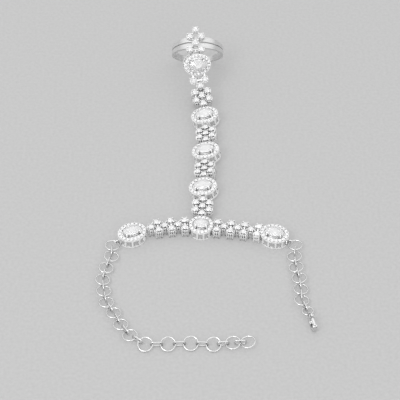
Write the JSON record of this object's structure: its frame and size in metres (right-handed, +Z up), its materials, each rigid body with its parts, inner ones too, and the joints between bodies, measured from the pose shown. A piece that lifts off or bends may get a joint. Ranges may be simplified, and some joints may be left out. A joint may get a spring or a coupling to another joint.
{
  "type": "hand chain bracelet",
  "caption": "Hand chain: a finger ring joined by linked stone clusters and flowers to a stone-set wrist band, with an extension chain and a lever clasp",
  "frame": {"origin": "centre of the bounding box's bottom face, on the surface that the piece lies on", "axes": "+X along the wrist band, +Y from the wrist to the finger, +Z up"},
  "size_m": [0.0786, 0.1462, 0.0229],
  "materials": {
    "silver": "polished",
    "crystal": "cut and polished"
  },
  "bodies": {
    "jewel": {"finger_ring": "silver", "ring_stones": "crystal", "drop_cluster": "silver", "drop_oval_stone": "crystal", "drop_rim_stones": "crystal", "hand_cluster_1": "silver", "hand_oval_stone_1": "crystal", "hand_rim_stones_1": "crystal", "hand_cluster_2": "silver", "hand_oval_stone_2": "crystal", "hand_rim_stones_2": "crystal", "hand_cluster_3": "silver", "hand_oval_stone_3": "crystal", "hand_rim_stones_3": "crystal", "centre_cluster": "silver", "centre_oval_stone": "crystal", "centre_rim_stones": "crystal", "left_cluster": "silver", "left_oval_stone": "crystal", "left_rim_stones": "crystal", "right_cluster": "silver", "right_oval_stone": "crystal", "right_rim_stones": "crystal", "flower_1": "silver", "flower_stones_1": "crystal", "flower_2": "silver", "flower_stones_2": "crystal", "flower_3": "silver", "flower_stones_3": "crystal", "flower_4": "silver", "flower_stones_4": "crystal", "left_wrist_links": "silver", "left_wrist_stones": "crystal", "right_wrist_links": "silver", "right_wrist_stones": "crystal", "extension_chain": "silver", "clasp_chain": "silver", "clasp_body": "silver"},
    "lever": {"clasp_lever": "silver"}
  },
  "joints": [
    {"name": "clasp_hinge", "type": "hinge", "parent": "jewel", "child": "lever", "pos_m": [0.03731, -0.05983, 0.00358], "axis": [0.9703, 0.2419, 0], "range_deg": [0, 20], "stiffness_Nm_per_rad": 0.0001, "springref_deg": -11.46}
  ]
}
